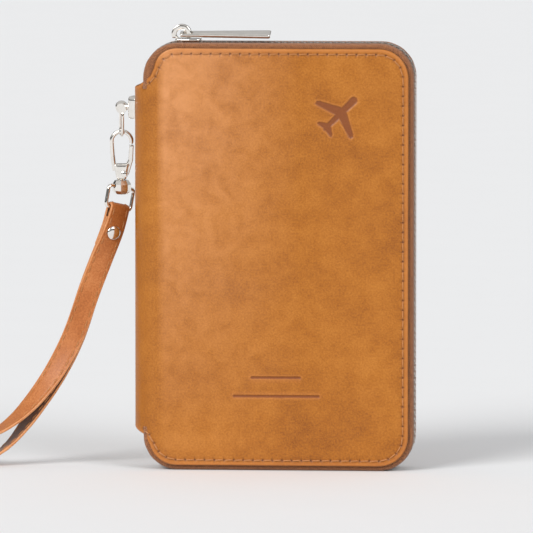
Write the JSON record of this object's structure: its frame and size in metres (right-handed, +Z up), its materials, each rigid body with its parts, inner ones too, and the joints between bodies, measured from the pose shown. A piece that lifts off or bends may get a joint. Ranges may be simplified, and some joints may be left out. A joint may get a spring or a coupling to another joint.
{
  "type": "travel document organizer",
  "caption": "Zip-around leather travel document organizer that opens flat like a book, with pockets, card slots, pen loop and a clip-on wrist strap.",
  "frame": {"origin": "middle of the rear cover's outer face", "axes": "+Z up along the spine's length, +Y out of the rear cover, spine towards -X"},
  "size_m": [0.2086, 0.026, 0.2],
  "materials": {
    "cover_leather": "mottled pull-up leather, satin",
    "strap_leather": "satin leather, stitched",
    "pocket_leather": "smooth leather",
    "lining": "woven lining",
    "stiffener": "grey board",
    "zip_tape": "herringbone woven tape",
    "zip_metal": "nickel-plated teeth",
    "bright_metal": "polished nickel"
  },
  "bodies": {
    "back_cover": {"back_leather": "cover_leather", "back_board": "stiffener", "back_lining": "lining", "boarding_pass_pocket": "lining", "passport_pocket": "pocket_leather", "pen_loop": "pocket_leather", "back_zip_tape": "zip_tape", "back_zip_teeth": "zip_metal"},
    "spine": {"spine_leather": "cover_leather", "spine_lining": "lining", "anchor_cap": "bright_metal", "anchor_screw": "bright_metal", "ball_stud": "bright_metal"},
    "front_cover": {"front_leather": "cover_leather", "front_board": "stiffener", "front_lining": "lining", "cash_pocket": "lining", "card_slot_1": "pocket_leather", "card_slot_2": "pocket_leather", "card_slot_3": "pocket_leather", "card_slot_4": "pocket_leather", "front_zip_tape": "zip_tape", "front_zip_teeth": "zip_metal"},
    "slider": {"slider_body": "bright_metal", "slider_bail": "bright_metal"},
    "pull": {"pull_tab": "bright_metal"},
    "ring": {"link_ring": "bright_metal"},
    "hook": {"hook_body": "bright_metal", "gate_pin": "bright_metal"},
    "gate": {"hook_gate": "bright_metal"},
    "swivel": {"swivel_barrel": "bright_metal"},
    "loop": {"strap_loop": "bright_metal"},
    "strap": {"wrist_strap": "strap_leather", "strap_rivet": "bright_metal", "strap_rivet_back": "bright_metal"}
  },
  "joints": [
    {"name": "spine_fold", "type": "hinge", "parent": "back_cover", "child": "spine", "pos_m": [-0.06021, -0.00279, 0], "axis": [0, 0, -1], "range_deg": [0, 90]},
    {"name": "cover_fold", "type": "hinge", "parent": "spine", "child": "front_cover", "pos_m": [-0.06021, -0.02321, 0], "axis": [0, 0, -1], "range_deg": [0, 90]},
    {"name": "slider_slide", "type": "slide", "parent": "back_cover", "child": "slider", "axis": [1, 0, 0], "range_m": [0, 0.078]},
    {"name": "pull_flip", "type": "hinge", "parent": "slider", "child": "pull", "pos_m": [-0.0419, -0.013, 0.0994], "axis": [0, -1, 0], "range_deg": [0, 170]},
    {"name": "ring_swing", "type": "hinge", "parent": "spine", "child": "ring", "pos_m": [-0.06979, -0.005, 0.0655], "axis": [0, 1, 0], "range_deg": [0, 70]},
    {"name": "hook_swing", "type": "hinge", "parent": "ring", "child": "hook", "pos_m": [-0.06979, -0.005, 0.05495], "axis": [1, 0, 0], "range_deg": [-50, 50]},
    {"name": "gate_press", "type": "hinge", "parent": "hook", "child": "gate", "pos_m": [-0.06839, -0.005, 0.03585], "axis": [0, -1, 0], "range_deg": [0, 20], "stiffness_Nm_per_rad": 0.004, "springref_deg": -11.46},
    {"name": "hook_swivel", "type": "hinge", "parent": "hook", "child": "swivel", "pos_m": [-0.06979, -0.005, 0.02975], "axis": [0, 0, 1], "range_deg": [-40, 60]},
    {"name": "loop_swing", "type": "hinge", "parent": "swivel", "child": "loop", "pos_m": [-0.06979, -0.005, 0.02975], "axis": [0.7708, 0.6022, -0.2079], "range_deg": [0, 30]},
    {"name": "strap_swing", "type": "hinge", "parent": "loop", "child": "strap", "pos_m": [-0.07139, -0.00624, 0.02026], "axis": [0.7708, 0.6022, -0.2079], "range_deg": [0, 45]}
  ],
  "couplings": [
    {"joint": "cover_fold", "follows": "spine_fold", "ratio": 1}
  ]
}
